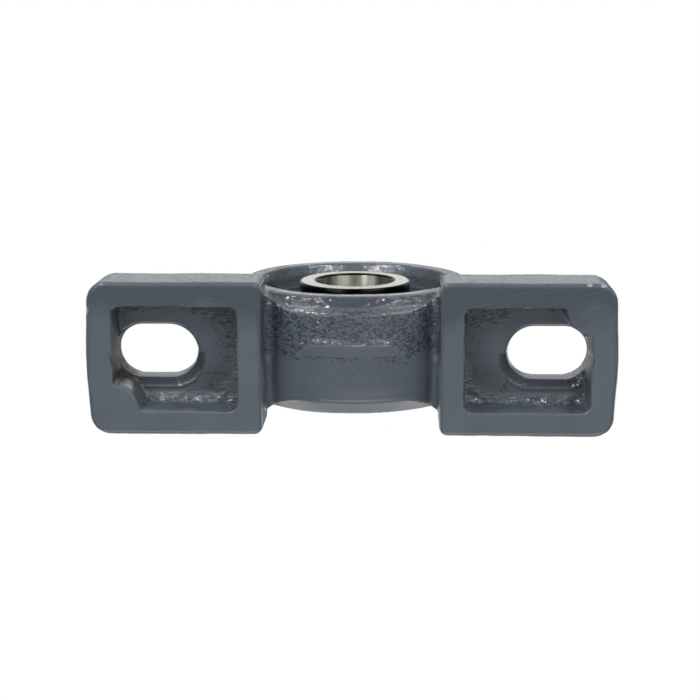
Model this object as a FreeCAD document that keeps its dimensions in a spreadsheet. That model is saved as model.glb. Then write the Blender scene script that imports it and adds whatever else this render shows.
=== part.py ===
import FreeCAD, Part
import math
import os
import Sketcher

# Pillow block with a self-aligning ball bearing insert for a 20 mm shaft.
# X runs along the feet, Y along the shaft, Z up from the mounting face.
# "front" is the -Y side, "rear" the +Y side, where the set screws are.

doc = FreeCAD.newDocument("pillow_block")

SIZES = {
    # housing
    "shaft_height": 33.3, "base_length": 127.0, "foot_width": 37.5, "foot_height": 15.0,
    "foot_inner": 21.2, "end_bow": 0.8, "bow_rise": 0.12, "bow_radius": 100.0,
    "outer_corner": 5.0, "inner_corner": 2.0, "bottom_edge": 1.2, "top_edge": 1.5,
    "web_fillet": 1.7, "web_sink": 0.1, "web_half": 14.4, "web_reach": 12.0,
    "ring_radius": 31.6, "ring_band": 10.6, "ring_half": 14.5, "rim_radius": 28.0,
    "rim_edge": 0.9, "band_edge": 1.8, "saddle_radius": 7.0, "saddle_half": 11.6, "saddle_sink": 0.5,
    "mouth_radius": 24.4, "mouth_edge": 0.5, "mouth_inner": 22.4, "seat_half": 9.4, "seat_gap": 0.04,
    "load_slot_half": 8.8,
    "pocket_out": 57.0, "pocket_in": 27.05, "pocket_half": 12.6, "pocket_depth": 9.0,
    "pocket_corner": 2.0, "pocket_draft": 1.0, "pad_radius": 6.3, "pad_root": 1.5,
    "floor_fillet": 0.6,
    "bolt_spacing": 95.5, "slot_width": 12.5, "slot_length": 19.4, "slot_draft": 10.0,
    "slot_flare": 0.55, "flare_depth": 3.0,
    "slot_ledge": 1.0, "ledge_shift": 0.95, "ledge_depth": 0.6, "ledge_draft": 25.0, "slot_edge": 0.3,
    "boss_radius": 5.5, "boss_top": 65.6, "thread_radius": 2.6,
    "grease_width": 7.0, "grease_offset": 3.0, "grease_depth": 0.9,
    # bearing insert
    "sphere_radius": 23.5, "outer_half": 8.5, "outer_land": 18.9,
    "seal_seat": 19.9, "seal_shelf": 6.5,
    "pitch_radius": 16.75, "ball_radius": 3.969, "race_radius": 4.12, "race_gap": 0.015,
    "grease_hole": 0.9,
    "bore_radius": 10.0, "inner_land": 14.3, "short_side": 13.9, "long_side": 17.7,
    "inner_edge": 0.8, "bore_edge": 0.5,
    "cage_in": 15.4, "cage_out": 18.1, "cage_sheet": 0.7, "pocket_gap": 0.1,
    "rivet_radius": 0.55, "rivet_head": 1.0, "rivet_head_height": 0.35,
    "shield_in": 15.7, "shield_sheet": 0.6, "shield_face": 8.2, "crimp": 0.7,
    "lip_gap": 0.03, "lip_back": 6.9,
    "flinger_out": 19.4, "flinger_sheet": 0.8, "flinger_face": 9.7, "flinger_hub": 0.5,
    "screw_radius": 3.0, "screw_gap": 0.03, "screw_length": 6.0, "screw_tip": 10.3,
    "screw_offset": 13.4, "screw_angle": 60.0, "hex_radius": 1.75, "hex_depth": 2.6,
    "cup_radius": 1.5, "cup_depth": 0.6, "screw_edge": 0.5,
    # grease nipple
    "nipple_thread": 5.0, "nipple_hex": 4.05, "nipple_hex_height": 2.6,
    "nipple_neck": 1.9, "nipple_head": 3.2, "nipple_height": 8.4, "nipple_tip": 1.7,
    "nipple_bore": 1.06, "nipple_mouth": 0.6, "nipple_ball": 1.0, "nipple_ball_depth": 1.54,
    "spring_radius": 0.72, "spring_wire": 0.17, "spring_seat": 2.0, "spring_height": 3.6,
    "spring_pitch": 0.8,
}
BALLS = 8


class Size:
    """A number together with the spreadsheet formula that gives it."""

    def __init__(self, value, formula):
        self.value, self.formula = value, formula

    @staticmethod
    def of(other):
        return other if isinstance(other, Size) else Size(float(other), repr(float(other)))

    def join(self, sign, other, value):
        return Size(value, f"({self.formula} {sign} {other.formula})")

    def __add__(self, other):
        other = Size.of(other)
        return self.join("+", other, self.value + other.value)

    def __sub__(self, other):
        other = Size.of(other)
        return self.join("-", other, self.value - other.value)

    def __mul__(self, other):
        other = Size.of(other)
        return self.join("*", other, self.value * other.value)

    def __truediv__(self, other):
        other = Size.of(other)
        return self.join("/", other, self.value / other.value)

    def __rmul__(self, other):
        return Size.of(other) * self

    def __radd__(self, other):
        return Size.of(other) + self

    def __rsub__(self, other):
        return Size.of(other) - self

    def __neg__(self):
        return Size(0.0, "0") - self


def root(size):
    return Size(math.sqrt(size.value), f"sqrt({size.formula})")


class Sheet:
    def __init__(self, sizes):
        sheet = doc.addObject("Spreadsheet::Sheet", "dims")
        for row, (name, value) in enumerate(sizes.items(), 1):
            sheet.set(f"A{row}", name)
            sheet.set(f"B{row}", str(value))
            sheet.setAlias(f"B{row}", name)
            setattr(self, name, Size(value, f"dims.{name}"))


d = Sheet(SIZES)
doc.recompute()


def bind(thing, **formulas):
    """Drive properties by sizes; a double underscore in a name stands for a dot."""
    for name, size in formulas.items():
        thing.setExpression(name.replace("__", "."), Size.of(size).formula)


def new_body(label, height=None):
    body = doc.addObject("PartDesign::Body", label)
    body.Label = label
    if height is not None:
        bind(body, Placement__Base__z=height)
    return body


def origin_part(body, role):
    return next(f for f in body.Origin.OriginFeatures if f.Role == role)


def new_sketch(body, name, plane, shift_up=None, shift_out=None):
    sketch = body.newObject("Sketcher::SketchObject", name)
    sketch.AttachmentSupport = [(origin_part(body, plane), "")]
    sketch.MapMode = "FlatFace"
    if shift_up is not None:
        bind(sketch, AttachmentOffset__Base__y=shift_up)
    if shift_out is not None:
        bind(sketch, AttachmentOffset__Base__z=shift_out)
    return sketch


def hold(sketch, kind, item, point, size):
    """Hold a point's distance from the sketch's origin to a size, on either side of it."""
    size = Size.of(size)
    if abs(size.value) < 1e-9:
        axis = -2 if kind == "DistanceX" else -1
        sketch.addConstraint(Sketcher.Constraint("PointOnObject", item, point, axis))
        return
    ends = (-1, 1, item, point) if size.value > 0 else (item, point, -1, 1)
    n = sketch.addConstraint(Sketcher.Constraint(kind, *ends, abs(size.value)))
    sketch.setExpression(f"Constraints[{n}]", size.formula if size.value > 0 else f"-({size.formula})")


def trimmed(before, corner, after):
    """Start, end and centre of the arc that rounds a corner (x, y, radius)."""
    x, y, radius = (Size.of(v) for v in corner)
    legs = []
    for other in (before, after):
        dx, dy = Size.of(other[0]) - x, Size.of(other[1]) - y
        length = root(dx * dx + dy * dy)
        legs.append((dx / length, dy / length))
    (ax, ay), (bx, by) = legs
    cosine = ax * bx + ay * by
    cut = radius * root((1 + cosine) / (1 - cosine))
    reach = radius.value / math.sqrt((1 - cosine.value) / 2)
    mx, my = ax.value + bx.value, ay.value + by.value
    scale = reach / math.hypot(mx, my)
    centre = (x.value + mx * scale, y.value + my * scale)
    return (x + ax * cut, y + ay * cut), (x + bx * cut, y + by * cut), centre


def outline(sketch, corners):
    """Closed loop of lines and arcs through corners.

    (x, y) is sharp, (x, y, radius) is rounded, and (x, y, radius, cx, cy) starts an arc about (cx, cy).
    """
    points = []
    for i, corner in enumerate(corners):
        if len(corner) == 3:
            start, end, centre = trimmed(corners[i - 1], corner, corners[(i + 1) % len(corners)])
            points += [(*start, corner[2], *centre), end]
        else:
            points.append(corner)
    at = [FreeCAD.Vector(Size.of(p[0]).value, Size.of(p[1]).value, 0) for p in points]
    first = sketch.GeometryCount
    starts = []
    for i, point in enumerate(points):
        a, b = at[i], at[(i + 1) % len(at)]
        if len(point) == 2:
            piece = Part.LineSegment(a, b)
        else:
            radius, cx, cy = (Size.of(v).value for v in point[2:])
            centre = FreeCAD.Vector(cx, cy, 0)
            piece = Part.Arc(a, centre + ((a - centre) + (b - centre)).normalize() * radius, b)
        sketch.addGeometry(piece, False)
        starts.append(1 if (sketch.getPoint(first + i, 1) - a).Length < 1e-6 else 2)
    for i, point in enumerate(points):
        following = (i + 1) % len(points)
        joined = (first + i, 3 - starts[i], first + following, starts[following])
        sketch.addConstraint(Sketcher.Constraint("Coincident", *joined))
        hold(sketch, "DistanceX", first + i, starts[i], point[0])
        hold(sketch, "DistanceY", first + i, starts[i], point[1])
        if len(point) > 2:
            n = sketch.addConstraint(Sketcher.Constraint("Radius", first + i, Size.of(point[2]).value))
            sketch.setExpression(f"Constraints[{n}]", Size.of(point[2]).formula)


def hung(corners):
    """A turned profile drawn below its axis, which puts the surface's seam at the bottom."""
    return [(corner[0], -corner[1], *corner[2:]) for corner in corners]


def circle(sketch, x, y, radius):
    x, y, radius = Size.of(x), Size.of(y), Size.of(radius)
    centre = FreeCAD.Vector(x.value, y.value, 0)
    item = sketch.addGeometry(Part.Circle(centre, FreeCAD.Vector(0, 0, 1), radius.value), False)
    hold(sketch, "DistanceX", item, 3, x)
    hold(sketch, "DistanceY", item, 3, y)
    n = sketch.addConstraint(Sketcher.Constraint("Radius", item, radius.value))
    sketch.setExpression(f"Constraints[{n}]", radius.formula)


def feature(body, kind, name, sketch, **formulas):
    made = body.newObject(f"PartDesign::{kind}", name)
    made.Profile = sketch
    sketch.Visibility = False
    bind(made, **formulas)
    return made


def turned(body, kind, name, sketch):
    """Revolution or Groove all the way round the sketch's horizontal axis."""
    made = feature(body, kind, name, sketch)
    made.ReferenceAxis = (sketch, ["H_Axis"])
    made.Angle = 360
    return made


def round_edges(body, name, radius, wanted):
    doc.recompute()
    base = body.Tip
    names = [f"Edge{n}" for n, edge in enumerate(base.Shape.Edges, 1) if wanted(edge)]
    if not names:
        raise RuntimeError(f"{body.Label} {name}: no edge found")
    fillet = body.newObject("PartDesign::Fillet", name)
    fillet.Base = (base, names)
    bind(fillet, Radius=radius)
    return fillet


# ---------------------------------------------------------------- housing
def foot_outline(sketch, side):
    """One foot in plan: rounded corners and a slightly bowed end."""
    end, half, wall = d.base_length / 2, d.foot_width / 2, d.foot_inner
    outline(sketch, [
        (side * (end + d.bow_rise), 0, d.bow_radius),
        (side * (end - d.end_bow), half, d.outer_corner),
        (side * wall, half, d.inner_corner),
        (side * wall, -half, d.inner_corner),
        (side * (end - d.end_bow), -half, d.outer_corner),
    ])


def pocket_outline(sketch, side):
    """Cored pocket under one foot."""
    outline(sketch, [
        (side * x, y, d.pocket_corner) for x, y in (
            (d.pocket_in, -d.pocket_half), (d.pocket_out, -d.pocket_half),
            (d.pocket_out, d.pocket_half), (d.pocket_in, d.pocket_half),
        )
    ])


def pad_outline(sketch, side):
    """Quarter-round dowel pad in one outer corner of a pocket, reaching a little into both walls."""
    out, half, pad, root_in = d.pocket_out, d.pocket_half, d.pad_radius, d.pad_root
    outline(sketch, [
        (side * (out - pad), -side * (half + root_in)), (side * (out + root_in), -side * (half + root_in)),
        (side * (out + root_in), -side * (half - pad)),
        (side * out, -side * (half - pad), pad, (side * out).value, (-side * half).value),
        (side * (out - pad), -side * half),
    ])


def slot_outline(sketch, side, grow=0, shift=0):
    middle, half, line = d.bolt_spacing / 2, d.slot_width / 2 + grow, Size.of(shift)
    run = (d.slot_length - d.slot_width) / 2
    far, near = side * (middle + run), side * (middle - run)
    outline(sketch, [
        (near, line + half), (far, line + half, half, far, line),
        (far + side * half, line, half, far, line), (far, line - half),
        (near, line - half, half, near, line), (near - side * half, line, half, near, line),
    ])


def middle(edge):
    return edge.valueAt((edge.FirstParameter + edge.LastParameter) / 2)


def at_height(height):
    def wanted(edge):
        points = [middle(edge)] + [vertex.Point for vertex in edge.Vertexes]
        return all(abs(point.z - height) < 0.01 for point in points)
    return wanted


housing = new_body("housing")
feet = new_sketch(housing, "feet_outline", "XY_Plane")
for side in (-1, 1):
    foot_outline(feet, side)
feature(housing, "Pad", "feet", feet, Length=d.foot_height)
round_edges(housing, "foot_bottom_edges", d.bottom_edge, at_height(0))
round_edges(housing, "foot_top_edges", d.top_edge, at_height(SIZES["foot_height"]))

hollow = new_sketch(housing, "foot_pocket_outline", "XY_Plane")
pads = new_sketch(housing, "dowel_pad_outline", "XY_Plane")
for side in (-1, 1):
    pocket_outline(hollow, side)
    pad_outline(pads, side)
hollows = feature(housing, "Pocket", "foot_pockets", hollow,
                  Length=d.pocket_depth, TaperAngle=-d.pocket_draft)
hollows.Reversed = True
round_edges(housing, "pocket_floor_fillets", d.floor_fillet, at_height(SIZES["pocket_depth"]))
feature(housing, "Pad", "dowel_pads", pads, Length=d.pocket_depth + 0.5)

# webs that carry the ring's underside over to the feet's inner walls, following the ring's round
webs = new_sketch(housing, "web_profile", "XZ_Plane")
web_round, web_roof = d.ring_radius - d.web_sink, d.rim_radius - 1
fillet_round = web_round + d.web_fillet
across, toe_x = d.foot_inner + d.web_sink - d.web_fillet, d.foot_inner - d.web_reach
drop = root(fillet_round * fillet_round - across * across)
inner = web_round / fillet_round
crown = d.shaft_height - root(web_roof * web_roof - d.foot_inner * d.foot_inner)
for side in (-1, 1):
    outline(webs, [
        (side * (across + d.web_fillet), d.shaft_height - drop, d.web_fillet, (side * across).value,
         d.shaft_height - drop),
        (side * (across * inner), d.shaft_height - drop * inner, web_round, 0, d.shaft_height),
        (side * toe_x, d.shaft_height - root(web_round * web_round - toe_x * toe_x)),
        (side * toe_x, d.shaft_height - root(web_roof * web_roof - toe_x * toe_x)),
        (side * d.foot_inner, crown),
        (side * (d.foot_inner + d.top_edge), d.foot_height - d.top_edge),
        (side * (d.foot_inner + d.top_edge), d.shaft_height - drop),
    ])
web_pad = feature(housing, "Pad", "webs", webs, Length=d.web_half * 2)
web_pad.SideType = "Symmetric"

# their sides are hollow in plan, so they run from the foot into the ring's band
sides = new_sketch(housing, "web_side_outline", "XY_Plane")
rise = d.web_half - d.ring_band
bend = (d.web_reach * d.web_reach + rise * rise) / (rise * 2)
for side in (-1, 1):
    for end in (-1, 1):
        wall, toe = side * d.foot_inner, side * (toe_x - 1)
        outline(sides, [
            (wall, end * d.web_half, bend, (side * toe_x).value, (end * (d.ring_band + bend)).value),
            (side * toe_x, end * d.ring_band), (toe, end * d.ring_band),
            (toe, end * (d.ring_half + 2)), (wall, end * (d.ring_half + 2)),
        ])
side_cut = feature(housing, "Pocket", "web_sides", sides, Length=d.shaft_height)
side_cut.Reversed = True

ring = new_sketch(housing, "ring_profile", "YZ_Plane", shift_up=d.shaft_height)
outline(ring, hung([
    (-d.ring_half, 0), (-d.ring_half, d.rim_radius, d.rim_edge), (-d.ring_band, d.ring_radius, d.band_edge),
    (d.ring_band, d.ring_radius, d.band_edge), (d.ring_half, d.rim_radius, d.rim_edge), (d.ring_half, 0),
]))
turned(housing, "Revolution", "ring", ring)

# web that carries the ring on each foot; its round starts just under both surfaces it joins
saddle = new_sketch(housing, "saddle_profile", "XZ_Plane")
inside, below = d.ring_radius - d.saddle_sink, d.foot_height - d.saddle_sink
lift = d.shaft_height - below - d.saddle_radius
reach = inside + d.saddle_radius
toe = root(reach * reach - lift * lift)
for side in (-1, 1):
    outline(saddle, [
        (side * (d.foot_inner + 3), below - 3), (side * toe, below - 3),
        (side * toe, below, d.saddle_radius, (side * toe).value, below + d.saddle_radius),
        (side * (toe * inside / reach), d.shaft_height - lift * inside / reach),
        (side * (d.foot_inner + 3), d.shaft_height - 3),
    ])
saddle_pad = feature(housing, "Pad", "saddle", saddle, Length=d.saddle_half * 2)
saddle_pad.SideType = "Symmetric"

# grease boss on the crown
boss = new_sketch(housing, "boss_outline", "XY_Plane", shift_out=d.shaft_height + d.ring_radius - 3)
circle(boss, 0, 0, d.boss_radius)
feature(housing, "Pad", "boss", boss, Length=d.boss_top - d.shaft_height - d.ring_radius + 3)

# spherical seat and the two mouths
seat = new_sketch(housing, "seat_profile", "YZ_Plane", shift_up=d.shaft_height)
seat_radius = d.sphere_radius + d.seat_gap
seat_edge = root(seat_radius * seat_radius - d.seat_half * d.seat_half)
face = d.ring_half + 0.2
outline(seat, hung([
    (-face, 0), (-face, d.mouth_radius + d.mouth_edge), (d.mouth_edge - face, d.mouth_radius),
    (-d.seat_half, d.mouth_inner), (-d.seat_half, seat_edge, seat_radius, 0, 0),
    (d.seat_half, seat_edge), (d.seat_half, d.mouth_inner),
    (face - d.mouth_edge, d.mouth_radius), (face, d.mouth_radius + d.mouth_edge), (face, 0),
]))
turned(housing, "Groove", "seat", seat)

channel = new_sketch(housing, "grease_channel_profile", "YZ_Plane", shift_up=d.shaft_height)
left, right = d.grease_offset - d.grease_width / 2, d.grease_offset + d.grease_width / 2
top = seat_radius + d.grease_depth
outline(channel, hung([(left, top - 4), (right, top - 4), (right, top), (left, top)]))
turned(housing, "Groove", "grease_channel", channel)

# notches in the front mouth that let the insert in edge on
notch = new_sketch(housing, "load_notch_outline", "XZ_Plane", shift_up=d.shaft_height)
half = d.load_slot_half
side_at = root(seat_radius * seat_radius - half * half)
outline(notch, [
    (-side_at, half), (side_at, half, seat_radius, 0, 0),
    (side_at, -half), (-side_at, -half, seat_radius, 0, 0),
])
notches = feature(housing, "Pocket", "load_notches", notch, Length=d.ring_half + 1)
notches.Reversed = True

thread = new_sketch(housing, "nipple_hole_outline", "XY_Plane", shift_out=d.boss_top)
circle(thread, 0, 0, d.thread_radius)
feature(housing, "Pocket", "nipple_hole", thread, Length=d.boss_top - d.shaft_height - d.sphere_radius + 1)

# bolt slots that flare towards the pocket, with a narrow ledge round them in its floor
slots = new_sketch(housing, "bolt_slot_outline", "XY_Plane")
flares = new_sketch(housing, "slot_flare_outline", "XY_Plane", shift_out=d.pocket_depth - 0.01)
ledges = new_sketch(housing, "slot_ledge_outline", "XY_Plane", shift_out=d.pocket_depth - 0.01)
for side in (-1, 1):
    slot_outline(slots, side)
    slot_outline(flares, side, d.slot_flare)
    slot_outline(ledges, side, d.slot_ledge, d.ledge_shift)
bolt_cut = feature(housing, "Pocket", "bolt_slots", slots, Length=d.foot_height + 10)
ledge_cut = feature(housing, "Pocket", "slot_ledges", ledges,
                    Length=d.ledge_depth, TaperAngle=-d.ledge_draft)
flare_cut = feature(housing, "Pocket", "slot_flares", flares,
                    Length=d.flare_depth, TaperAngle=-d.slot_draft)
for cut in (bolt_cut, ledge_cut, flare_cut):
    cut.Reversed = True


def on_slot_top(edge):
    point = middle(edge)
    in_slot = abs(abs(point.x) - SIZES["bolt_spacing"] / 2) < SIZES["slot_length"] / 2 + 0.1
    return in_slot and abs(point.y) < SIZES["slot_width"] / 2 + 0.1 and at_height(SIZES["foot_height"])(edge)


round_edges(housing, "slot_top_edges", d.slot_edge, on_slot_top)


# ---------------------------------------------------------------- bearing insert
def turned_part(label, corners):
    """Body turned about the shaft axis from a (y, radius) profile."""
    body = new_body(label, d.shaft_height)
    profile = new_sketch(body, f"{label}_profile", "YZ_Plane")
    outline(profile, corners)
    turned(body, "Revolution", f"{label}_turned", profile)
    return body


def raceway(body, name, centre_radius):
    """Groove of circular section for the balls."""
    section = new_sketch(body, f"{name}_section", "YZ_Plane")
    circle(section, 0, centre_radius, d.race_radius)
    turned(body, "Groove", name, section)


def placed(body, kind, name, angle, axis, spot, **formulas):
    """Primitive feature turned by an angle about an axis, with its base point bound to sizes."""
    made = body.newObject(f"PartDesign::{kind}", name)
    base = FreeCAD.Vector(*(Size.of(v).value for v in spot))
    made.Placement = FreeCAD.Placement(base, FreeCAD.Rotation(axis, angle))
    for letter, size in zip("xyz", spot):
        made.setExpression(f"Placement.Base.{letter}", Size.of(size).formula)
    bind(made, **formulas)
    return made


UP, ALONG_SHAFT, ALONG_FEET = FreeCAD.Vector(0, 0, 1), FreeCAD.Vector(0, 1, 0), FreeCAD.Vector(1, 0, 0)

sphere_edge = root(d.sphere_radius * d.sphere_radius - d.outer_half * d.outer_half)
outer_ring = turned_part("outer_ring", [
    (-d.outer_half, sphere_edge, d.sphere_radius, 0, 0), (d.outer_half, sphere_edge),
    (d.outer_half, d.seal_seat), (d.seal_shelf, d.seal_seat), (d.seal_shelf, d.outer_land),
    (-d.seal_shelf, d.outer_land), (-d.seal_shelf, d.seal_seat), (-d.outer_half, d.seal_seat),
])
raceway(outer_ring, "outer_raceway", d.pitch_radius + d.ball_radius + d.race_gap - d.race_radius)
placed(outer_ring, "SubtractiveCylinder", "grease_feed", 0, UP,
       (0, d.grease_offset + 2.2, d.pitch_radius + 1), Radius=d.grease_hole, Height=8)

inner_ring = turned_part("inner_ring", [
    (-d.short_side, d.bore_radius + d.bore_edge), (d.bore_edge - d.short_side, d.bore_radius),
    (d.long_side - d.bore_edge, d.bore_radius), (d.long_side, d.bore_radius + d.bore_edge),
    (d.long_side, d.inner_land, d.inner_edge), (-d.short_side, d.inner_land, d.inner_edge),
])
raceway(inner_ring, "inner_raceway", d.pitch_radius - d.ball_radius - d.race_gap + d.race_radius)
for name, turn in (("screw_hole_1", 1), ("screw_hole_2", -1)):
    hole = placed(inner_ring, "SubtractiveCylinder", name, SIZES["screw_angle"] * turn, ALONG_SHAFT,
                  (0, d.screw_offset, 0), Radius=d.screw_radius + d.screw_gap, Height=d.inner_land + 3)
    hole.setExpression("Placement.Rotation.Angle", (d.screw_angle * turn).formula)

# balls
step = 360 / BALLS
nodes = [housing, outer_ring, inner_ring]
for n in range(BALLS):
    ball = doc.addObject("Part::Sphere", f"ball_{n + 1}")
    ball.Label = f"ball_{n + 1}"
    bind(ball, Radius=d.ball_radius, Placement__Base__x=d.pitch_radius * math.sin(math.radians(n * step)),
         Placement__Base__z=d.shaft_height + d.pitch_radius * math.cos(math.radians(n * step)))
    nodes.append(ball)


# two-piece ribbon cage
def cage_half(label, side):
    """Flat ribbon with half-round pockets pressed over the balls, on one side of the ball plane."""
    sheet, wrap = d.cage_sheet, d.ball_radius + d.pocket_gap
    low, high = d.cage_in, d.cage_out
    body = turned_part(label, [(0, low), (side * sheet, low), (side * sheet, high), (0, high)])
    for kind, name, radius in (
        ("AdditiveSphere", "pocket_shell", wrap + sheet), ("SubtractiveSphere", "ball_pocket", wrap),
    ):
        first = placed(body, kind, f"{label}_{name}", 0, UP, (0, 0, d.pitch_radius), Radius=radius)
        pattern = body.newObject("PartDesign::PolarPattern", f"{label}_{name}s")
        pattern.Originals = [first]
        pattern.Axis = (origin_part(body, "Y_Axis"), [""])
        pattern.Angle = 360
        pattern.Occurrences = BALLS
        body.Tip = pattern
    beyond = wrap + sheet + 1
    for name, left, right, bottom, top in (
        ("outer_trim", -beyond, beyond, high, high + 4),
        ("inner_trim", -beyond, beyond, low - 4, low),
        ("half_trim", 0, -side * beyond, low - 4, high + 4),
    ):
        profile = new_sketch(body, f"{label}_{name}_profile", "YZ_Plane")
        outline(profile, [(left, bottom), (right, bottom), (right, top), (left, top)])
        turned(body, "Groove", f"{label}_{name}", profile)
    return body


cage_front, cage_rear = cage_half("cage_front", -1), cage_half("cage_rear", 1)
half_step = math.radians(step / 2)
for body in (cage_front, cage_rear):
    first = placed(body, "SubtractiveCylinder", f"{body.Label}_rivet_hole", -90, ALONG_FEET,
                   (d.pitch_radius * math.sin(half_step), -2, d.pitch_radius * math.cos(half_step)),
                   Radius=d.rivet_radius, Height=4)
    pattern = body.newObject("PartDesign::PolarPattern", f"{body.Label}_rivet_holes")
    pattern.Originals = [first]
    pattern.Axis = (origin_part(body, "Y_Axis"), [""])
    pattern.Angle = 360
    pattern.Occurrences = BALLS
    body.Tip = pattern
nodes += [cage_front, cage_rear]

rivet_parts = []
for n in range(BALLS):
    angle = math.radians((n + 0.5) * step)
    across, up = d.pitch_radius * math.sin(angle), d.shaft_height + d.pitch_radius * math.cos(angle)
    grip = d.cage_sheet
    for radius, start, height in (
        (d.rivet_radius, -grip, grip * 2),
        (d.rivet_head, -grip - d.rivet_head_height, d.rivet_head_height),
        (d.rivet_head, grip, d.rivet_head_height),
    ):
        piece = doc.addObject("Part::Cylinder", f"rivet_part_{len(rivet_parts) + 1}")
        piece.Placement = FreeCAD.Placement(FreeCAD.Vector(), FreeCAD.Rotation(ALONG_FEET, -90))
        bind(piece, Radius=radius, Height=height, Placement__Base__x=across, Placement__Base__y=start,
             Placement__Base__z=up)
        rivet_parts.append(piece)
cage_rivets = doc.addObject("Part::MultiFuse", "cage_rivets")
cage_rivets.Label = "cage_rivets"
cage_rivets.Shapes = rivet_parts
nodes.append(cage_rivets)

# seals and flingers, the same at both ends
for end, side in (("front", -1), ("rear", 1)):
    outer, inner, back = side * d.shield_face, side * (d.shield_face - d.shield_sheet), side * d.seal_shelf
    rim = d.seal_seat - d.crimp
    nodes.append(turned_part(f"shield_{end}", [
        (outer, d.shield_in), (outer, d.seal_seat), (back, d.seal_seat),
        (back, rim), (inner, rim), (inner, d.shield_in),
    ]))
    lip, back = d.inner_land + d.lip_gap, side * d.lip_back
    nodes.append(turned_part(f"seal_lip_{end}", [
        (outer, d.shield_in), (back, d.shield_in), (back, lip + 0.5),
        (back + side * 0.25, lip), (outer - side * 0.35, lip + 0.25), (outer, lip),
    ]))
    outer, inner = side * d.flinger_face, side * (d.flinger_face - d.flinger_sheet)
    hub, hub_end = d.inner_land + d.flinger_sheet, outer + side * d.flinger_hub
    nodes.append(turned_part(f"flinger_{end}", [
        (hub_end, d.inner_land), (hub_end, hub), (outer, hub),
        (outer, d.flinger_out), (inner, d.flinger_out), (inner, d.inner_land),
    ]))


def upright_part(label, corners):
    """Body turned about its own upright axis from a (radius, z) profile."""
    body = new_body(label)
    profile = new_sketch(body, f"{label}_profile", "XZ_Plane")
    outline(profile, corners)
    made = feature(body, "Revolution", f"{label}_turned", profile)
    made.ReferenceAxis = (profile, ["V_Axis"])
    made.Angle = 360
    return body


def hexagon(sketch, radius):
    turns = [math.radians(60 * n) for n in range(6)]
    outline(sketch, [(radius * math.cos(turn), radius * math.sin(turn)) for turn in turns])


for n, turn in ((1, 1), (2, -1)):
    label = f"set_screw_{n}"
    flat = d.screw_radius - d.screw_edge
    screw = upright_part(label, [
        (0, d.cup_depth), (d.cup_radius, 0), (flat, 0), (d.screw_radius, d.screw_edge),
        (d.screw_radius, d.screw_length - d.screw_edge), (flat, d.screw_length), (0, d.screw_length),
    ])
    socket = new_sketch(screw, f"{label}_socket_outline", "XY_Plane", shift_out=d.screw_length)
    hexagon(socket, d.hex_radius)
    feature(screw, "Pocket", f"{label}_socket", socket, Length=d.hex_depth)
    lean = math.radians(SIZES["screw_angle"] * turn)
    screw.Placement = FreeCAD.Placement(FreeCAD.Vector(), FreeCAD.Rotation(ALONG_SHAFT, math.degrees(lean)))
    bind(screw, Placement__Base__x=d.screw_tip * math.sin(lean), Placement__Base__y=d.screw_offset,
         Placement__Base__z=d.shaft_height + d.screw_tip * math.cos(lean))
    nodes.append(screw)

# ---------------------------------------------------------------- grease nipple
nipple = upright_part("grease_nipple", [
    (d.nipple_mouth, -d.nipple_thread), (d.thread_radius, -d.nipple_thread), (d.thread_radius, 0),
    (d.nipple_neck + 0.7, 0), (d.nipple_neck + 0.7, d.nipple_hex_height),
    (d.nipple_neck, d.nipple_hex_height + 0.6), (d.nipple_neck, d.nipple_height - 3.1),
    (d.nipple_head, d.nipple_height - 2.2), (d.nipple_head, d.nipple_height - 1.4),
    (d.nipple_tip, d.nipple_height), (d.nipple_mouth, d.nipple_height),
    (d.nipple_mouth, d.nipple_height - 0.7), (d.nipple_bore, d.nipple_height - 1.16),
    (d.nipple_bore, d.spring_seat), (d.nipple_mouth, d.spring_seat),
])
hexes = new_sketch(nipple, "nipple_hex_outline", "XY_Plane")
hexagon(hexes, d.nipple_hex)
circle(hexes, 0, 0, d.nipple_neck)
feature(nipple, "Pad", "nipple_hex", hexes, Length=d.nipple_hex_height)
bind(nipple, Placement__Base__z=d.boss_top)
nodes.append(nipple)

check_ball = doc.addObject("Part::Sphere", "nipple_ball")
check_ball.Label = "nipple_ball"
bind(check_ball, Radius=d.nipple_ball, Placement__Base__z=d.boss_top + d.nipple_height - d.nipple_ball_depth)
nodes.append(check_ball)

spring = new_body("nipple_spring")
wire = new_sketch(spring, "spring_wire_section", "XZ_Plane")
circle(wire, d.spring_radius, d.spring_seat + d.spring_wire, d.spring_wire)
coil = feature(spring, "AdditiveHelix", "spring_coil", wire)
coil.ReferenceAxis = (wire, ["V_Axis"])
coil.Mode = 0
bind(coil, Pitch=d.spring_pitch, Height=d.spring_height)
bind(spring, Placement__Base__z=d.boss_top)
nodes.append(spring)

doc.recompute()
os.makedirs("parts", exist_ok=True)
for node in nodes:
    if node.Shape.isNull() or not node.Shape.isValid() or {"Invalid", "Error"} & set(node.State):
        raise RuntimeError(f"{node.Label} did not build: {node.State}")
    node.Shape.exportStep(f"parts/{node.Label}.step")
    print(f"{node.Label:16s} {len(node.Shape.Solids)} solid(s) {node.Shape.Volume:10.1f} mm3")
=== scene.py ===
import math

import bmesh
import bpy
from mathutils import Matrix, Vector, noise
from mathutils.bvhtree import BVHTree


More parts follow.
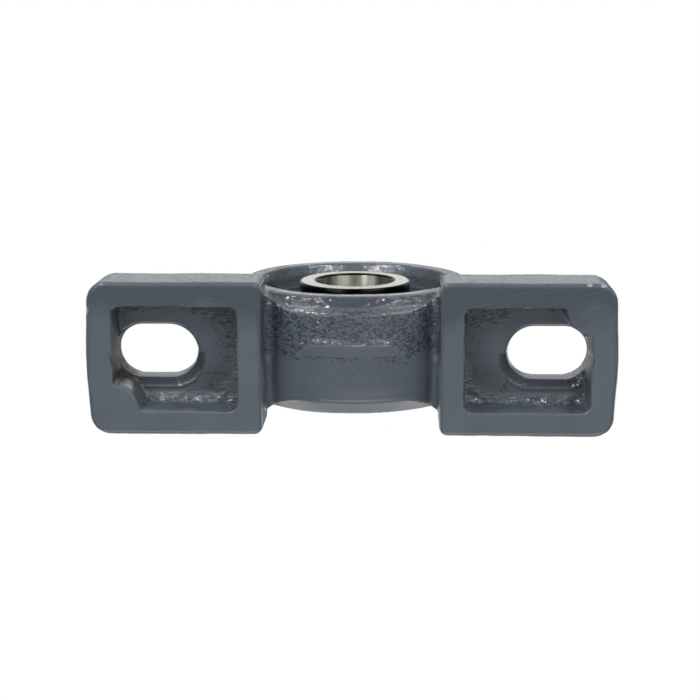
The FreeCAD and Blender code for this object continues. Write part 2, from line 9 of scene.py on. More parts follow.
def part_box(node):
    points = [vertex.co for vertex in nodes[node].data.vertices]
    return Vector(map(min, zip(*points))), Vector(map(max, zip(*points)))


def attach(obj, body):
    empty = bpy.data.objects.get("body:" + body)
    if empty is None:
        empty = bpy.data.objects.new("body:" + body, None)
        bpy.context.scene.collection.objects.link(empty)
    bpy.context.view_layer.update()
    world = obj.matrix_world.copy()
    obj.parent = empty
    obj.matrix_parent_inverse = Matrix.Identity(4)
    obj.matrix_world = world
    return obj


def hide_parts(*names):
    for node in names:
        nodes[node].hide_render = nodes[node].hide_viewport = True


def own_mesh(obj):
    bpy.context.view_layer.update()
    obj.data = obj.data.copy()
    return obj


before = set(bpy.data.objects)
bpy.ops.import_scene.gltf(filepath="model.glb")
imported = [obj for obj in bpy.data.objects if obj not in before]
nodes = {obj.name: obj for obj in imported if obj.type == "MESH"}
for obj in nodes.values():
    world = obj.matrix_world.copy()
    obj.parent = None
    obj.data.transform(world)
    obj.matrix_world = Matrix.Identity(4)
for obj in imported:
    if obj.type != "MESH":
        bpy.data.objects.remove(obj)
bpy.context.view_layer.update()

mm = 0.001
scene = bpy.context.scene


# small helpers
def toLinear(hexColour):
    channels = [int(hexColour[i:i + 2], 16) / 255 for i in (1, 3, 5)]
    linear = [c / 12.92 if c <= 0.04045 else ((c + 0.055) / 1.055) ** 2.4 for c in channels]
    return (*linear, 1.0)


def perMm(size):
    return 1 / (size * mm)  # texture scale that gives features of this many millimetres


def addNode(tree, kind, values):
    # a value is a node's own setting, or a number, colour, node or socket for one of its inputs
    node = tree.nodes.new("ShaderNode" + kind)
    for name, value in values.items():
        if isinstance(value, bpy.types.Node):
            value = value.outputs[0]
        if isinstance(value, bpy.types.NodeSocket):
            tree.links.new(value, node.inputs[name])
        elif isinstance(name, str) and hasattr(node, name):
            setattr(node, name, value)
        else:
            node.inputs[name].default_value = value
    return node


def newMaterial(name, values):
    # a Principled shader with its fixed values set on its own sockets
    material = bpy.data.materials.new(name)
    material.use_nodes = True
    tree = material.node_tree
    tree.nodes.clear()
    shader = addNode(tree, "BsdfPrincipled", values)
    addNode(tree, "OutputMaterial", {"Surface": shader})
    return material, tree, shader


def smoothStep(low, high, value):
    t = min(max((value - low) / (high - low), 0.0), 1.0)
    return t * t * (3 - 2 * t)


def newPiece(name, bm, material, body, *replaced):
    mesh = bpy.data.meshes.new(name)
    bm.to_mesh(mesh)
    bm.free()
    mesh.materials.append(material)
    for face in mesh.polygons:
        face.use_smooth = True
    piece = bpy.data.objects.new(name, mesh)
    scene.collection.objects.link(piece)
    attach(piece, body)
    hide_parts(*replaced)
    return piece


# camera
cameraSetup = {
    "target": (-0.11, -2.58, 0.0),  # mm
    "distance": 350.0,              # mm
    "yaw": -2.05,                   # degrees, to the side
    "pitch": 12.25,                 # degrees, up from the feet's side
    "roll": -0.13,                  # degrees
    "lens": 75.98,                  # mm
}


def addCamera(setup):
    yaw, pitch, roll = (math.radians(setup[k]) for k in ("yaw", "pitch", "roll"))
    forward = Vector((math.sin(yaw) * math.cos(pitch), math.sin(pitch), math.cos(yaw) * math.cos(pitch)))
    right = Vector((math.cos(yaw), 0, -math.sin(yaw)))
    up = right.cross(forward)
    rolledRight = right * math.cos(roll) + up * math.sin(roll)
    rolledUp = up * math.cos(roll) - right * math.sin(roll)
    data = bpy.data.cameras.new("camera")
    data.lens = setup["lens"]
    data.sensor_width = 36
    data.clip_start = 0.01
    camera = bpy.data.objects.new("camera", data)
    place = (Vector(setup["target"]) - forward * setup["distance"]) * mm
    turn = Matrix((rolledRight, rolledUp, -forward)).transposed().to_4x4()
    camera.matrix_world = Matrix.Translation(place) @ turn
    scene.collection.objects.link(camera)
    scene.camera = camera


addCamera(cameraSetup)
print("camera set")


# floor, world and lights
studio = {
    "floorHeight": -1.4,      # m, well below a camera that looks up at the feet
    "floorSize": 60.0,        # m
    "floorColour": "#fbfbfb",
    "floorShade": "#707070",  # what it gives back to the object
    "skyColour": "#ffffff",
    "skySeen": 1.0,           # what the background looks like
    "skyLight": 0.18,         # what it gives to the object
    "aim": (0, 0, 0.02),      # m, where every softbox points
}
softboxes = {                 # place in m, long side's direction, size in m, power in W
    "leftStrip": ((-0.27, -0.42, -0.20), (0.14, 0.19, -0.51), (0.50, 0.012), 2.3),
    "rightStrip": ((0.27, -0.41, -0.18), (-0.14, 0.19, -0.51), (0.50, 0.012), 1.7),
    "backSoftbox": ((-0.05, -0.52, 0.88), (1, 0, 0), (1.0, 0.95), 2.4),
    "leftFront": ((-0.55, -0.35, -0.70), (0, 1, 0), (0.6, 0.8), 2.3),
    "rightFront": ((0.55, -0.35, -0.70), (0, 1, 0), (0.6, 0.8), 2.0),
    "farSoftbox": ((0.0, 0.05, -1.2), (1, 0, 0), (1.6, 1.0), 1.1),
    "lowSoftbox": ((0.05, 0.75, -0.55), (1, 0, 0), (1.0, 0.4), 5.6),
    "topLeft": ((-1.15, 0.35, 1.1), (0, 1, 0), (1.1, 0.9), 11.0),
    "topRight": ((1.15, 0.35, 1.1), (0, 1, 0), (1.1, 0.9), 11.0),
    "rearSoftbox": ((0.0, 1.4, 0.6), (1, 0, 0), (1.6, 0.9), 9.0),
}


def addFloor(setup):
    # matt painted board: pale to look at, and darker in what it gives back, so it doesn't flood the feet
    material, tree, shader = newMaterial("paleFloor", {
        "Roughness": 0.8, "Base Color": toLinear(setup["floorShade"]),
        "Emission Color": toLinear(setup["floorColour"])})
    seen = addNode(tree, "LightPath", {}).outputs["Is Camera Ray"]
    tree.links.new(seen, shader.inputs["Emission Strength"])
    bm = bmesh.new()
    bmesh.ops.create_grid(bm, x_segments=1, y_segments=1, size=setup["floorSize"] / 2)
    bmesh.ops.translate(bm, verts=bm.verts, vec=(0, 0, setup["floorHeight"]))
    mesh = bpy.data.meshes.new("floor")
    bm.to_mesh(mesh)
    bm.free()
    mesh.materials.append(material)
    floor = bpy.data.objects.new("floor", mesh)
    scene.collection.objects.link(floor)


def addWorld(setup):
    scene.world = bpy.data.worlds.new("studio")
    scene.world.use_nodes = True
    tree = scene.world.node_tree
    tree.nodes.clear()
    colour = toLinear(setup["skyColour"])
    seen = addNode(tree, "Background", {"Color": colour, "Strength": setup["skySeen"]})
    given = addNode(tree, "Background", {"Color": colour, "Strength": setup["skyLight"]})
    path = addNode(tree, "LightPath", {})
    mixed = addNode(tree, "MixShader", {0: path.outputs["Is Camera Ray"], 1: given, 2: seen})
    addNode(tree, "OutputWorld", {"Surface": mixed})


def addSoftbox(name, place, along, size, power, aim):
    data = bpy.data.lights.new(name, "AREA")
    data.shape = "RECTANGLE"
    data.size, data.size_y = size
    data.energy = power
    light = bpy.data.objects.new(name, data)
    away = (Vector(place) - Vector(aim)).normalized()
    across = (Vector(along) - Vector(along).dot(away) * away).normalized()
    turn = Matrix((across, away.cross(across), away)).transposed().to_4x4()
    light.matrix_world = Matrix.Translation(Vector(place)) @ turn
    light.visible_camera = False
    scene.collection.objects.link(light)


addFloor(studio)
addWorld(studio)
for name, values in softboxes.items():
    addSoftbox(name, *values, studio["aim"])
scene.view_settings.view_transform = "Standard"
print("studio set")


# housing: grey iron, sand cast, foot rims ground, then sprayed with enamel
housingShape = {
    "voxel": 0.56,        # mm, grid of the cast skin
    "pull": 0.85,         # how far the grid is pulled back onto the CAD, 0 to 1
    "pullReach": 0.6,     # mm
    "roughHeight": 0.10,  # mm, sand texture that the mesh itself has
    "roughSize": 2.0,     # mm
    "waveHeight": 0.14,   # mm, slow unevenness of the mould
    "waveSize": 13.0,     # mm
    "wallHeight": 0.22,   # mm, wobble of the pocket walls
    "wallSize": 4.0,      # mm
    "mottleSize": 5.5,    # mm, how far the worn zones wander
    "footFillet": 2.2,    # mm, uneven fillet at the lower end of the pocket floors
    "ledgeRise": 0.18,    # mm, bead on the ledge round the slots
    "patchRise": 0.35,    # mm, smooth raised patch under the ring
    "faceSink": 0.06,     # mm, keeps the rough long faces of the feet within the casting's size
    "seamPlace": -0.2,    # mm along the shaft, parting line of the mould
}
castPlaces = {            # mm, from the middle of the base
    "footInside": 21.0,   # to the side, where the ground rims start
    "footFace": 17.5,     # along the shaft, just inside the long faces of the feet
    "footTop": 14.7,
    "pocketInside": 26.3, "pocketEnd": 58.0, "pocketHalf": 13.6, "pocketDepth": 10.2,
    "slotPlace": 47.5, "slotStraight": 3.5, "slotRadius": 6.5,
    "mouthRadius": 27.6, "seatHalf": 9.6,
    "ringInside": 26.0,   # from the shaft
    "webHalf": 21.3, "webTop": 15.4,  # beyond the first and below the second it is foot, not ring
    "bevelStart": 12.1,   # along the shaft, where the ring starts to slope to its mouth
    "underRing": 30.9,    # from the shaft, the lowest part of the ring
    "patchTop": -3.4,     # along the shaft, upper edge of the smooth patch
}
chips = [                 # knocked off enamel: x, y, z and radius in mm
    (-63.2, -11.8, 0.3, 1.3), (62.4, -16.9, 1.2, 1.3), (59.5, -18.3, 0.5, 0.9), (56.0, -18.5, 0.4, 0.7),
    (41.5, -12.5, 0.1, 0.7),
]
shaftHeight = (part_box("inner_ring")[0].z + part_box("inner_ring")[1].z) / 2 / mm
# the shade layer is painted shade (on the ground rims it only darkens their upper edge); the bare-iron
# layer is partly a painted reflection on the slot walls and the right slot's end
skinLayers = ("pitted", "lumpy", "ground", "grime", "chip", "bareAndSheen", "shade", "seam")


def pocketSkin(skin, point, grain, wall, mottle, shape, at):
    # smooth round the slot, more pitted to the front, lumpy by the floor at the rear wall and inner corner;
    # painted shade on the ledge round the slot
    x, y, z = point
    side = abs(x)
    slotGap = math.hypot(max(abs(side - at["slotPlace"]) - at["slotStraight"], 0), y) - at["slotRadius"]
    upper = smoothStep(-4.0, -9.5, y + 3 * mottle)
    onWall = smoothStep(1.2, 2.6, z) * (1 - smoothStep(7.8, 8.6, z))
    nearEnd = max(smoothStep(9.6, 11.0, y), smoothStep(29.6, 28.6, side) * smoothStep(1, 7, y))
    corner = smoothStep(6.5, 2.5, math.hypot(side - 28, y - 12))
    skin["lumpy"] = smoothStep(6.4, 7.6, z) * max(nearEnd, corner)
    skin["pitted"] = max(smoothStep(1.5, 6.0, slotGap) * (0.6 + 0.4 * upper) + 0.5 * mottle,
                         0.5 * skin["lumpy"], 0.3 * onWall)
    nearFoot = max(1 - math.hypot(12.5 - y, 9.0 - z) / shape["footFillet"], 0)
    move = shape["wallHeight"] * wall * (1 - smoothStep(8.4, 8.8, z)) + nearFoot ** 2 * (0.6 + 1.6 * grain)
    if 9.0 < z < 10.3 and y > 0 and slotGap < 2.7:  # the ledge round the slot
        # painted shade on the ledge's flat, for the shadow in the gap round the slot
        skin["shade"] = smoothStep(2.2, 1.9, slotGap)
        skin["lumpy"], skin["pitted"] = 0.65 * (1 - skin["shade"]), 0.1
        move += shape["ledgeRise"] * smoothStep(0.5, 0.1, abs(slotGap - 2.2))
    return move


def ringSkin(skin, point, fromShaft, mottle, shape, at):
    # rough in front of the parting line, smoother behind it, with the raised patch underneath; painted
    # shade on the slope to the mouth, under the middle and next to the webs
    x, y, z = point
    side = abs(x)
    past = y - shape["seamPlace"]
    move = 0
    pitted = 1.0 - 0.62 * smoothStep(-0.6, 1.6, past + 2 * mottle) - 0.38 * smoothStep(4, 12, past)
    lumpy = 0.13 * pitted * smoothStep(18.5, 16.5, side)
    if z < shaftHeight and fromShaft > at["underRing"]:
        fromTop = past - at["patchTop"]
        halfWidth = 9.1 + 1.5 * min(max(fromTop, 0), -at["patchTop"])
        inside = min(fromTop, halfWidth - side) if past < 0 else halfWidth + 4 * past - side
        rise = smoothStep(-0.35, 0.2, inside) * (1 - smoothStep(7.0, 10.0, y)) * smoothStep(26, 21, side)
        move = shape["patchRise"] * rise
        pitted -= (pitted - 0.05) * smoothStep(-0.1, 0.4, inside) * (1 - smoothStep(-0.3, 0.1, past))
        lumpy += 0.8 * (1 - smoothStep(0.1, 0.6, abs(inside + 0.2))) * (past < -0.5)
        skin["seam"] = smoothStep(11.5, 9.5, side)
    slope = smoothStep(11.9, 12.4, -y)
    fromEdge = min(abs(y + at["bevelStart"]), abs(fromShaft - 27.8) + 9 * (1 - slope))
    edge = 1 - smoothStep(0.15, 0.45, fromEdge)
    underside = smoothStep(17, 8, side) * (z < shaftHeight)
    nearWeb = smoothStep(17, 19, side) * (z < 15)
    skin["pitted"] = pitted * (1 - 0.6 * slope) * (1 - 0.8 * edge)
    skin["lumpy"] = (lumpy + 0.85 * slope) * (1 - 0.6 * edge)
    # painted shade: darker on the slope to the mouth, under the middle of the ring and next to the webs,
    # evening out how light falls there
    skin["shade"] = 0.9 * slope + 0.22 * underside + 0.1 * nearWeb
    return move


def castSurface(point, shape, at):
    # how far the skin moves at a point (mm), and how strong each of the skin layers is there (0 to 1)
    # every smoothStep goes from 0 at its first limit to 1 at its second, both in mm
    x, y, z = point
    side = abs(x)
    grain, wave, wall, mottle = (
        noise.noise(Vector(point) / shape[size] + Vector((7, 3, 5)) * number)
        for number, size in enumerate(("roughSize", "waveSize", "wallSize", "mottleSize")))
    skin = dict.fromkeys(skinLayers, 0)
    skin["pitted"], skin["lumpy"] = 0.2, 0.05
    fromShaft = math.hypot(x, z - shaftHeight)
    inMouth = fromShaft < at["mouthRadius"]
    move = shape["waveHeight"] * (wave - 0.4)
    if inMouth and abs(y) < at["seatHalf"]:  # the machined seat, left as the CAD has it
        # the seat is darkened as painted shade, deep inside the housing
        return 0, dict.fromkeys(skinLayers, 0) | {"shade": 0.8}
    if (at["pocketInside"] < side < at["pocketEnd"] and abs(y) < at["pocketHalf"]
            and 0.3 < z < at["pocketDepth"]):
        move += pocketSkin(skin, point, grain, wall, mottle, shape, at)
    elif inMouth:
        skin["pitted"], skin["lumpy"] = 0.35, 0.5
        # painted shade deep in the mouth and towards its sides
        skin["shade"] = max(0.95 * smoothStep(13.0, 11.5, abs(y)), 0.7 * smoothStep(15, 21, side))
    elif fromShaft > at["ringInside"] and (side < at["webHalf"] or z > at["webTop"]):
        move += ringSkin(skin, point, fromShaft, mottle, shape, at)
    elif abs(y) > at["footFace"]:
        skin["pitted"], skin["lumpy"] = 0.6, 0.09
        move -= shape["faceSink"]
    if side > at["footInside"]:
        skin["ground"] = 1 - smoothStep(0.1, 0.4, z)
    left = 1 - skin["ground"]  # the grinder takes the sand texture off
    # the ground rims darker towards their upper edge
    skin["shade"] += 0.75 * skin["ground"] * smoothStep(-4, -14, y + 4 * wave + 2 * mottle)
    skin["pitted"] *= left
    skin["lumpy"] *= left
    move += shape["roughHeight"] * max(skin["pitted"], skin["lumpy"]) * (grain - 0.5)
    if -58 < x < -50 and abs(y) < 8.5 and 1 < z < at["footTop"]:  # old grease at the left slot
        grime = smoothStep(8.5, 5.0, abs(y - 0.5)) * smoothStep(-50.5, -54, x)
        skin["grime"] = grime
        skin["pitted"], skin["lumpy"] = max(skin["pitted"], 0.7 * grime), max(skin["lumpy"], 0.6 * grime)
    if side > 35 and z < at["footTop"]:  # thin enamel on the walls of the slots
        fromSlot = math.hypot(max(abs(side - at["slotPlace"]) - at["slotStraight"], 0), y)
        inSlot = fromSlot < at["slotRadius"] + 0.4
        # the iron colour on the slot walls is partly thin enamel and partly a painted reflection of the
        # bright background along them
        skin["bareAndSheen"] = 0.75 * smoothStep(9.5, 10.6, z) * inSlot * (1 - skin["grime"])
    if 52 < x < 58 and abs(y) < 7 and 2 < z < at["footTop"]:  # rubbed end of the right slot
        # the light iron colour here is partly rubbed enamel and partly painted glints and reflection
        skin["pitted"], skin["lumpy"], skin["bareAndSheen"] = 0.9, 0.5, 0.9 * smoothStep(7, 4, abs(y))
    for *place, radius in chips:
        gap = (Vector(point) - Vector(place)).length / radius
        skin["chip"] = max(skin["chip"], 1 - gap)
    return move * left, skin


def makeHousing(shape, material):
    # the CAD solid is merged and given an even grid, which is then pulled back onto it and made uneven
    bm = bmesh.new()
    bm.from_mesh(nodes["housing"].data)
    bmesh.ops.remove_doubles(bm, verts=bm.verts, dist=0.002 * mm)
    solid = BVHTree.FromBMesh(bm)
    mesh = bpy.data.meshes.new("blank")
    bm.to_mesh(mesh)
    bm.free()
    blank = bpy.data.objects.new("blank", mesh)
    scene.collection.objects.link(blank)
    grid = blank.modifiers.new("grid", "REMESH")
    grid.mode = "VOXEL"
    grid.voxel_size = shape["voxel"] * mm
    soft = blank.modifiers.new("soft", "SMOOTH")
    soft.factor = 0.5
    soft.iterations = 2
    graph = bpy.context.evaluated_depsgraph_get()
    finished = bpy.data.meshes.new_from_object(blank.evaluated_get(graph))
    bpy.data.objects.remove(blank)
    bm = bmesh.new()
    bm.from_mesh(finished)
    for vert in bm.verts:
        nearest = solid.find_nearest(vert.co, shape["pullReach"] * mm)
        if nearest[0]:
            vert.co = vert.co.lerp(nearest[0], shape["pull"])
    bm.normal_update()
    layers = {name: bm.verts.layers.float.new(name) for name in skinLayers}
    moves = []
    for vert in bm.verts:
        move, skin = castSurface(vert.co / mm, shape, castPlaces)
        for name, layer in layers.items():
            vert[layer] = min(max(skin[name], 0), 1)
        moves.append(vert.normal * move * mm)
    for vert, move in zip(bm.verts, moves):
        vert.co += move
    return newPiece("castHousing", bm, material, "housing", "housing")


enamel = {
    # the dark shade colour paints shade in the sand pits, along the parting line and in the shaded zones;
    # the iron colour also stands for a painted reflection on the slot walls
    "dark": "#454d55", "light": "#535b63", "shadeTone": "#29313a", "grime": "#3b362c", "iron": "#84868a",
    "cloudSize": 11.0,   # mm, patches of thicker coat
    "pitSize": 0.68,     # mm, sand pits, coarser than real so that they show
    "pitDepth": 0.08,    # mm
    "lumpSize": 1.3,     # mm, lumps between the pits
    "lumpDepth": 0.5,    # mm
    "gritSize": 0.4,     # mm, fine sand that glitters
    "gritDepth": 0.015,  # mm
    "peelSize": 0.7,     # mm, orange peel of the sprayed coat
    "peelDepth": 0.012,  # mm
    "lineSize": 0.45,    # mm, grinding marks under the coat on the feet, coarser than real to show
    "lineDepth": 0.01,   # mm
    "lineCentre": -0.2,  # m along the shaft, where the grinder's spindle was
    "lineTone": 14.0,    # how much the grinding marks darken and lighten the coat
    "seamHalf": (0.15, 0.30),    # mm, half width of the parting line and of its soft edge
    "seamGaps": (0.44, 0.54),    # noise level where the parting line is gone and where it is whole
    "pitShare": (0.26, 0.50),    # sand level below which a pit starts, on smooth and on pitted skin
    "pitEdge": 0.045,            # softness of a pit's edge
    "pitRelief": (0.2, 1.0),     # share of the pits' depth, on smooth and on pitted skin
    "chipEdge": (0.62, 0.70),    # ragged edge of the knocked off enamel
    "satin": (0.34, 0.38),       # roughness, as cast and on the ground rims
    "dullness": 0.35,            # roughness added in the shaded zones
    "coat": (0.12, 0.9),         # clear top of the enamel, on flat skin and on the lumps
    "wornCoat": 0.2,             # share of it left where it is ground or greasy
}


def enamelOnCastIron(setup, seamPlace):
    # alkyd enamel sprayed over sand-cast iron: glinting lumps, and pits darkened as painted shade, where
    # the sand shows through, satin on the ground rims of the feet, dull bare metal where it is rubbed or
    # knocked off, painted shade in the shaded zones and a painted reflection on the slot walls
    material, tree, shader = newMaterial("enamelOnCastIron", {"Coat Roughness": 0.05})
    pitted, lumpy, ground, grime, chip, bareAndSheen, shade, seam = (
        addNode(tree, "Attribute", {"attribute_name": name}).outputs["Fac"] for name in skinLayers)
    dark, light, shadeTone, grease, iron = (toLinear(setup[k]) for k in ("dark", "light", "shadeTone", "grime", "iron"))
    place = addNode(tree, "TexCoord", {}).outputs["Object"]
    flow = addNode(tree, "Mapping", {"Scale": (0.7, 1.4, 1.0), "Vector": place})  # from side to side
    sand = addNode(tree, "TexNoise", {"Scale": perMm(setup["pitSize"]), "Distortion": 0.5, "Vector": flow})
    lump = addNode(tree, "TexNoise", {"Scale": perMm(setup["lumpSize"]), "Vector": flow})
    grit = addNode(tree, "TexNoise", {"Scale": perMm(setup["gritSize"]), "Detail": 1.0, "Vector": place})
    peel = addNode(tree, "TexNoise", {"Scale": perMm(setup["peelSize"]), "Vector": place})
    cloud = addNode(tree, "TexNoise", {"Scale": perMm(setup["cloudSize"]), "Detail": 3.0, "Vector": place})

    # grinding marks, which are arcs round the far spindle, only where the ground rims are darkened towards
    # their upper edge
    centred = addNode(tree, "Mapping", {
        "Scale": (1, 1, 0), "Location": (0, -setup["lineCentre"], 0), "Vector": place})
    radius = addNode(tree, "VectorMath", {"operation": "LENGTH", 0: centred}).outputs["Value"]
    arcs = addNode(tree, "TexNoise", {
        "noise_dimensions": "1D", "Scale": perMm(setup["lineSize"]), "Detail": 3.0, "W": radius})
    arcs = addNode(tree, "Math", {"operation": "SUBTRACT", 0: arcs, 1: 0.5})
    marked = addNode(tree, "Math", {"operation": "MULTIPLY", 0: ground, 1: shade})
    strength = addNode(tree, "Math", {"operation": "MULTIPLY", 0: cloud, 1: setup["lineTone"]})
    strength = addNode(tree, "Math", {"operation": "MULTIPLY", 0: marked, 1: strength})
    arcs = addNode(tree, "Math", {"operation": "MULTIPLY", 0: arcs, 1: strength})

    # sand pits, more of them the more pitted the skin is: 0 in a pit and 1 beside it
    reach = addNode(tree, "MapRange", {0: pitted, 3: setup["pitShare"][0], 4: setup["pitShare"][1]})
    level = addNode(tree, "Math", {"operation": "SUBTRACT", 0: sand, 1: reach})
    level = addNode(tree, "MapRange", {0: level, 1: -setup["pitEdge"], 2: setup["pitEdge"]})

    # colour, from the coat up
    tone = addNode(tree, "Math", {"operation": "ADD", 0: cloud, 1: arcs})
    colour = addNode(tree, "Mix", {"data_type": "RGBA", 0: tone, 6: dark, 7: light}).outputs[2]
    # bare iron where rubbed, and a painted reflection on the slot walls
    colour = addNode(tree, "Mix", {"data_type": "RGBA", 0: bareAndSheen, 6: colour, 7: iron}).outputs[2]
    # painted shade: the sand pits get the dark shade colour
    colour = addNode(tree, "Mix", {"data_type": "RGBA", 0: level, 6: shadeTone, 7: colour}).outputs[2]
    # painted shade: the shade layer darkens the coat towards the dark shade colour
    colour = addNode(tree, "Mix", {"data_type": "RGBA", 0: shade, 6: colour, 7: shadeTone}).outputs[2]
    # the parting line, drawn as a broken dark line of painted shade
    along = addNode(tree, "SeparateXYZ", {0: place}).outputs[1]
    fromSeam = addNode(tree, "Math", {"operation": "SUBTRACT", 0: along, 1: seamPlace * mm})
    fromSeam = addNode(tree, "Math", {"operation": "ABSOLUTE", 0: fromSeam})
    onLine = addNode(tree, "MapRange", {
        0: fromSeam, 1: setup["seamHalf"][1] * mm, 2: setup["seamHalf"][0] * mm})
    broken = addNode(tree, "MapRange", {0: lump, 1: setup["seamGaps"][0], 2: setup["seamGaps"][1]})
    onLine = addNode(tree, "Math", {"operation": "MULTIPLY", 0: onLine, 1: broken})
    onLine = addNode(tree, "Math", {"operation": "MULTIPLY", 0: seam, 1: onLine})
    colour = addNode(tree, "Mix", {"data_type": "RGBA", 0: onLine, 6: colour, 7: shadeTone}).outputs[2]
    dirty = addNode(tree, "Math", {"operation": "MULTIPLY", 0: grime, 1: cloud})
    colour = addNode(tree, "Mix", {"data_type": "RGBA", 0: dirty, 6: colour, 7: grease}).outputs[2]
    flake = addNode(tree, "Math", {"operation": "ADD", 0: chip, 1: sand})
    flake = addNode(tree, "MapRange", {0: flake, 1: setup["chipEdge"][0], 2: setup["chipEdge"][1]})
    near = addNode(tree, "MapRange", {0: chip, 1: 0.0, 2: 0.2})
    knocked = addNode(tree, "Math", {"operation": "MULTIPLY", 0: flake, 1: near})
    colour = addNode(tree, "Mix", {"data_type": "RGBA", 0: knocked, 6: colour, 7: iron}).outputs[2]
    tree.links.new(colour, shader.inputs["Base Color"])

    # gloss: dull in the shaded zones, and a wet-looking coat on the lumps that wear and grease take off
    satin = addNode(tree, "MapRange", {0: ground, 3: setup["satin"][0], 4: setup["satin"][1]})
    rough = addNode(tree, "Math", {"operation": "MULTIPLY_ADD", 0: shade, 1: setup["dullness"], 2: satin})
    tree.links.new(rough.outputs[0], shader.inputs["Roughness"])
    thick = addNode(tree, "MapRange", {
        0: lumpy, 1: 0.05, 2: 0.2, 3: setup["coat"][0], 4: setup["coat"][1]})
    worn = addNode(tree, "Math", {"operation": "MAXIMUM", 0: ground, 1: grime})
    kept = addNode(tree, "MapRange", {0: worn, 3: 1.0, 4: setup["wornCoat"]})
    coat = addNode(tree, "Math", {"operation": "MULTIPLY", 0: thick, 1: kept})
    tree.links.new(coat.outputs[0], shader.inputs["Coat Weight"])

    # relief, one layer on top of the other
    lumps = addNode(tree, "Math", {"operation": "MULTIPLY", 0: lump, 1: lumpy})
    deep = addNode(tree, "MapRange", {0: pitted, 3: setup["pitRelief"][0], 4: setup["pitRelief"][1]})
    pits = addNode(tree, "Math", {"operation": "MULTIPLY", 0: level, 1: deep})
    grit = addNode(tree, "Math", {"operation": "MULTIPLY", 0: grit, 1: pitted})
    relief = {"lumpDepth": lumps, "pitDepth": pits, "gritDepth": grit, "peelDepth": peel, "lineDepth": arcs}
    below = {}
    for depth, height in relief.items():
        bump = addNode(tree, "Bump", {"Distance": setup[depth] * mm, "Height": height, **below})
        below = {"Normal": bump}
    for socket in ("Normal", "Coat Normal"):
        tree.links.new(bump.outputs[0], shader.inputs[socket])
    return material


castHousing = makeHousing(housingShape, enamelOnCastIron(enamel, housingShape["seamPlace"]))
print("housing dressed")


# bearing steels
finishes = {  # two tones, roughness range, line size (coarser than real) and depth in mm, smear size in mm,
              # anisotropy
    "groundBearingSteel": (("#dbdad0", "#8e8d85"), (0.10, 0.17), 0.15, 0.001, 1.4, 0.95),
    "polishedBallSteel": (("#dcdcdc", "#cfcfd0"), (0.05, 0.10), 0.3, 0.001, 3.0, 0.0),
    "pressedCageSteel": (("#a9a498", "#8f8b80"), (0.35, 0.5), 0.2, 0.006, 3.0, 0.0),
    # painted shade: shields and flingers are near black for the shadow between the inner ring and the
    # housing
    "shadeDarkShieldSteel": (("#262627", "#1b1b1d"), (0.40, 0.55), 0.2, 0.005, 3.0, 0.0),
    "blackOxideSteel": (("#1c1c1e", "#2a2a2c"), (0.32, 0.5), 0.25, 0.006, 2.0, 0.0),
    "zincPlatedSteel": (("#c8c4b0", "#b0ad9e"), (0.25, 0.42), 0.25, 0.005, 2.0, 0.0),
    "springWireSteel": (("#8a8a88", "#757573"), (0.3, 0.42), 0.2, 0.003, 1.0, 0.0),
}
# dark colour for the chamfers and outer rim: partly the real hardening scale, partly a painted reflection
# of the dark surroundings they mirror
scaleAndDarkReflection = {             # black hardened skin that grinding leaves on the bearing's rings
    "colour": "#1d1c1b",
    "rimWidth": 0.3,     # mm, on the outer edge of the inner ring
    "offFace": 0.20,     # roughness added everywhere but on the flat faces
    "steep": (0.15, 0.35),  # a chamfer faces along the shaft more than this, 0 to 1
    "flat": (0.97, 0.90),   # and less than this
}


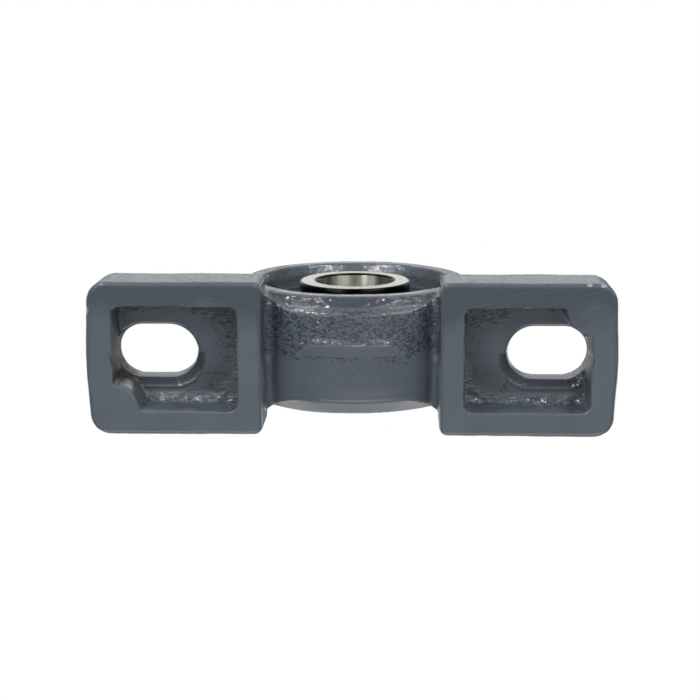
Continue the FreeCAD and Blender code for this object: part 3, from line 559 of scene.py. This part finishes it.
def steelFinish(name, colours, roughness, line, depth, smear, anisotropy):
    # turned or ground steel: the lines run round the shaft, so highlights stretch along it
    material, tree, shader = newMaterial(name, {"Metallic": 1.0, "Anisotropic": anisotropy})
    place = addNode(tree, "TexCoord", {}).outputs["Object"]
    centred = addNode(tree, "Mapping", {"Location": (0, 0, -shaftHeight * mm), "Vector": place})
    split = addNode(tree, "SeparateXYZ", {0: centred})
    flat = addNode(tree, "CombineXYZ", {0: split.outputs[0], 2: split.outputs[2]})
    radius = addNode(tree, "VectorMath", {"operation": "LENGTH", 0: flat}).outputs["Value"]
    lines = addNode(tree, "CombineXYZ", {0: radius, 1: split.outputs[1]})
    ground = addNode(tree, "TexNoise", {"Scale": perMm(line), "Detail": 4.0, "Vector": lines})
    cloud = addNode(tree, "TexNoise", {"Scale": perMm(smear), "Vector": flat})
    first, second = (toLinear(tone) for tone in colours)
    colour = addNode(tree, "Mix", {"data_type": "RGBA", 0: cloud, 6: first, 7: second}).outputs[2]
    gloss = addNode(tree, "MapRange", {0: ground, 3: roughness[0], 4: roughness[1]})
    if name == "groundBearingSteel":
        # hardened black, then ground on the faces and the bore only: the turned chamfers and the outer rim
        # stay dark, partly as the real scale and partly as a painted reflection of dark surroundings
        normal = addNode(tree, "NewGeometry", {}).outputs["True Normal"]
        facing = addNode(tree, "SeparateXYZ", {0: normal}).outputs[1]
        facing = addNode(tree, "Math", {"operation": "ABSOLUTE", 0: facing})
        steep = addNode(tree, "MapRange", {0: facing, 1: scaleAndDarkReflection["steep"][0], 2: scaleAndDarkReflection["steep"][1]})
        shallow = addNode(tree, "MapRange", {0: facing, 1: scaleAndDarkReflection["flat"][0], 2: scaleAndDarkReflection["flat"][1]})
        darkEdges = addNode(tree, "Math", {"operation": "MULTIPLY", 0: steep, 1: shallow})
        rim = addNode(tree, "Math", {"operation": "COMPARE", 0: radius, 1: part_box("inner_ring")[1].x,
                                     2: scaleAndDarkReflection["rimWidth"] * mm})
        darkEdges = addNode(tree, "Math", {"operation": "MAXIMUM", 0: darkEdges, 1: rim})
        black = toLinear(scaleAndDarkReflection["colour"])
        colour = addNode(tree, "Mix", {"data_type": "RGBA", 0: darkEdges, 6: colour, 7: black}).outputs[2]
        gloss = addNode(tree, "Math", {
            "operation": "MULTIPLY_ADD", 0: shallow, 1: scaleAndDarkReflection["offFace"], 2: gloss})
    tree.links.new(colour, shader.inputs["Base Color"])
    tree.links.new(gloss.outputs[0], shader.inputs["Roughness"])
    bump = addNode(tree, "Bump", {"Distance": depth * mm, "Height": ground})
    tree.links.new(bump.outputs[0], shader.inputs["Normal"])
    if anisotropy:
        along = addNode(tree, "VectorMath", {"operation": "CROSS_PRODUCT", 0: flat, 1: (0, 1, 0)})
        normal = addNode(tree, "NewGeometry", {}).outputs["Normal"]
        over = addNode(tree, "VectorMath", {"operation": "CROSS_PRODUCT", 0: along, 1: normal})
        unit = addNode(tree, "VectorMath", {"operation": "NORMALIZE", 0: over})
        tree.links.new(unit.outputs[0], shader.inputs["Tangent"])
    return material


rubber = {
    "dark": "#1b1a1a", "light": "#2a2827",
    "grainSize": 0.4,    # mm, texture of the mould, coarser than real to show
    "grainDepth": 0.01,  # mm
}


def nitrileRubber(setup):
    # moulded black nitrile: dull, faint mould grain
    material, tree, shader = newMaterial("nitrileRubber", {"Roughness": 0.6})
    place = addNode(tree, "TexCoord", {}).outputs["Object"]
    grain = addNode(tree, "TexNoise", {"Scale": perMm(setup["grainSize"]), "Detail": 3.0, "Vector": place})
    dark, light = toLinear(setup["dark"]), toLinear(setup["light"])
    colour = addNode(tree, "Mix", {"data_type": "RGBA", 0: grain, 6: dark, 7: light}).outputs[2]
    tree.links.new(colour, shader.inputs["Base Color"])
    bump = addNode(tree, "Bump", {"Strength": 0.5, "Distance": setup["grainDepth"] * mm, "Height": grain})
    tree.links.new(bump.outputs[0], shader.inputs["Normal"])
    return material


def makeSpring(material):
    # the check ball pushes this spring together; here it is a copy of the CAD spring, as its own mesh on
    # the housing
    bm = bmesh.new()
    bm.from_mesh(nodes["nipple_spring"].data)
    spring = newPiece("checkSpring", bm, material, "housing", "nipple_spring")
    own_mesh(spring)


steels = {name: steelFinish(name, *values) for name, values in finishes.items()}
dressing = {
    "outer_ring": steels["groundBearingSteel"], "inner_ring": steels["groundBearingSteel"],
    "cage_front": steels["pressedCageSteel"], "cage_rear": steels["pressedCageSteel"],
    "cage_rivets": steels["pressedCageSteel"], "set_screw_1": steels["blackOxideSteel"],
    "set_screw_2": steels["blackOxideSteel"], "grease_nipple": steels["zincPlatedSteel"],
    "nipple_ball": steels["polishedBallSteel"],
}
sealRubber = nitrileRubber(rubber)
for end in ("front", "rear"):
    dressing["shield_" + end] = steels["shadeDarkShieldSteel"]
    dressing["flinger_" + end] = steels["shadeDarkShieldSteel"]
    dressing["seal_lip_" + end] = sealRubber
for name in nodes:
    if name.startswith("ball_"):
        dressing[name] = steels["polishedBallSteel"]
for name, material in dressing.items():
    nodes[name].data.materials.clear()
    nodes[name].data.materials.append(material)
print("bearing dressed")
makeSpring(steels["springWireSteel"])
print("check spring made")
